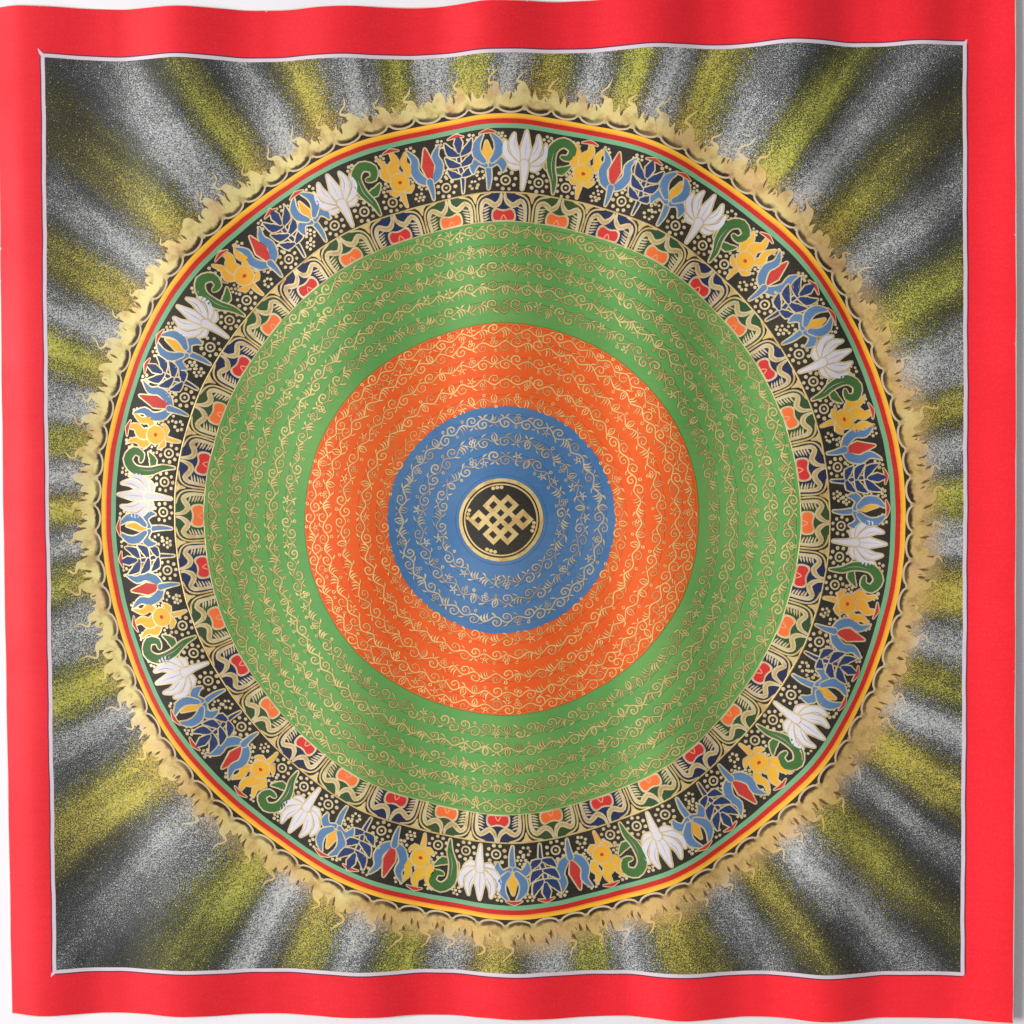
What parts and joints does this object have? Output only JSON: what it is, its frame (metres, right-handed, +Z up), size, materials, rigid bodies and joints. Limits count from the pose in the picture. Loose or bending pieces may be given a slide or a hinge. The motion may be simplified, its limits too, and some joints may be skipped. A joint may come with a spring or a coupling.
{
  "type": "painted cotton thangka sheet with a mandala, laid out flat",
  "caption": "Square sheet of painted cotton canvas lying in soft parallel waves, with a red border round a ringed mandala painting.",
  "frame": {"origin": "the middle of the sheet's outline, on the surface that it lies on", "axes": "+Z up out of the painted face, +Y towards the painting's top edge, +X to its right seen from above"},
  "size_m": [0.506, 0.51, 0.0078],
  "materials": {
    "painted_cotton": "matt gouache and gold paint on primed plain-weave cotton, bare cotton behind"
  },
  "bodies": {
    "root": {"canvas": "painted_cotton"}
  },
  "joints": []
}
